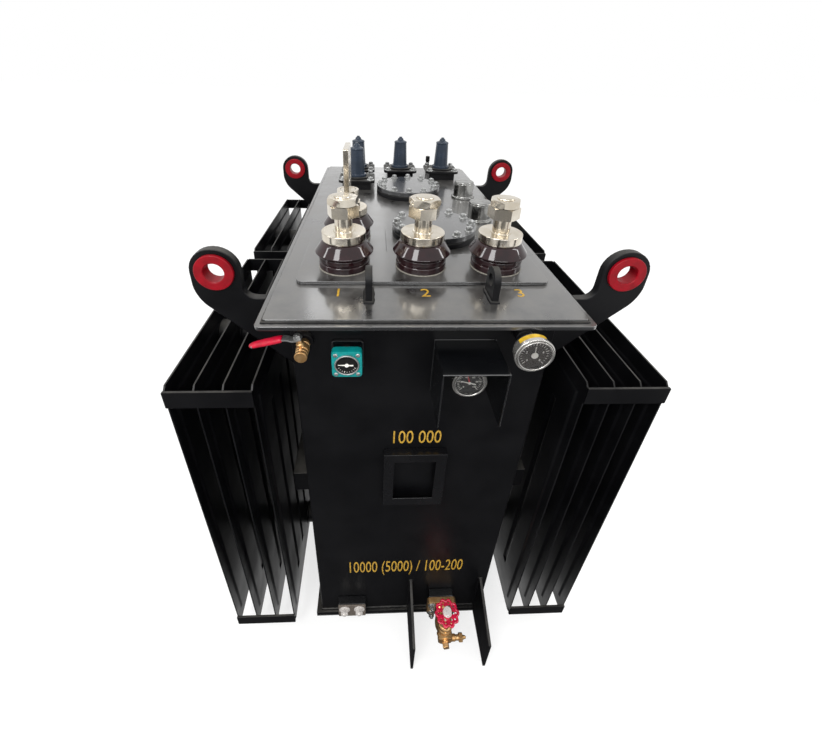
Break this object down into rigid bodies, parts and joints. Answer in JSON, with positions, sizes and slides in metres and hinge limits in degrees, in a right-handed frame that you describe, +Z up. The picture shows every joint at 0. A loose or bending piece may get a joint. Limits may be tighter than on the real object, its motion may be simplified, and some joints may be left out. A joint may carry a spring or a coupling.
{
  "type": "power transformer",
  "caption": "Oil-filled power transformer: welded tank with panel radiators, flanged cover with low and high voltage bushings, lifting lugs, gauges, lever ball valve and drain valve.",
  "frame": {"origin": "centre of the tank's base plate, on its underside", "axes": "+Z up, -Y out of the front wall with the gauges and valves, +X to the right of someone facing it"},
  "size_m": [0.91, 1.203, 1.259],
  "materials": {
    "black_paint": "semi-gloss black paint",
    "porcelain": "brown glaze",
    "tinned": "tin plate",
    "resin": "slate black",
    "stainless": "bright stainless",
    "zinc": "zinc plate",
    "brass": "cast and turned brass",
    "red_sleeve": "dipped vinyl",
    "crimson_paint": "gloss crimson paint",
    "teal_paint": "gloss teal paint",
    "chrome": "bright bezel"
  },
  "bodies": {
    "tank": {"ball_valve": "brass", "base_plate": "black_paint", "cover_eye_left": "black_paint", "cover_eye_right": "black_paint", "cover_plate": "black_paint", "drain_boss": "black_paint", "drain_guard_left": "black_paint", "drain_guard_right": "black_paint", "drain_valve": "brass", "fill_post": "black_paint", "front_wall": "black_paint", "ground_pad": "stainless", "handhole_lid_front": "black_paint", "handhole_lid_rear": "black_paint", "handhole_ring_front": "black_paint", "handhole_ring_rear": "black_paint", "hv_bushing_1": "resin", "hv_bushing_2": "resin", "hv_bushing_3": "resin", "hv_bushing_neutral": "resin", "hv_risers": "black_paint", "left_stiffener": "black_paint", "left_wall": "black_paint", "level_gauge": "teal_paint", "lifting_lug_front_left": "black_paint", "lifting_lug_front_right": "black_paint", "lifting_lug_rear_left": "black_paint", "lifting_lug_rear_right": "black_paint", "lv_insulator_1": "porcelain", "lv_insulator_2": "porcelain", "lv_insulator_3": "porcelain", "lv_insulator_neutral": "porcelain", "lv_pad": "black_paint", "lv_terminal_1": "tinned", "lv_terminal_2": "tinned", "lv_terminal_3": "tinned", "lv_terminal_neutral": "tinned", "nameplate_frame": "black_paint", "neutral_spade": "tinned", "pressure_gauge": "chrome", "radiator_front_left": "black_paint", "radiator_front_right": "black_paint", "radiator_rear_left": "black_paint", "radiator_rear_right": "black_paint", "rear_wall": "black_paint", "right_stiffener": "black_paint", "right_wall": "black_paint", "tap_cap_front": "stainless", "tap_cap_rear": "stainless", "thermometer": "chrome", "thermometer_hood": "black_paint", "top_flange": "black_paint"},
    "lever": {"ball_valve_lever": "zinc", "ball_valve_sleeve": "red_sleeve"},
    "handwheel": {"drain_handwheel": "crimson_paint", "drain_stem": "zinc"}
  },
  "joints": [
    {"name": "lever_turn", "type": "hinge", "parent": "tank", "child": "lever", "pos_m": [-0.21151, -0.5465, 1.00957], "axis": [-0.2588, 0, 0.9659], "range_deg": [0, 90]},
    {"name": "handwheel_turn", "type": "hinge", "parent": "tank", "child": "handwheel", "pos_m": [0.104, -0.597, 0.173], "axis": [0, 0, 1], "range_deg": [0, 1440]}
  ]
}
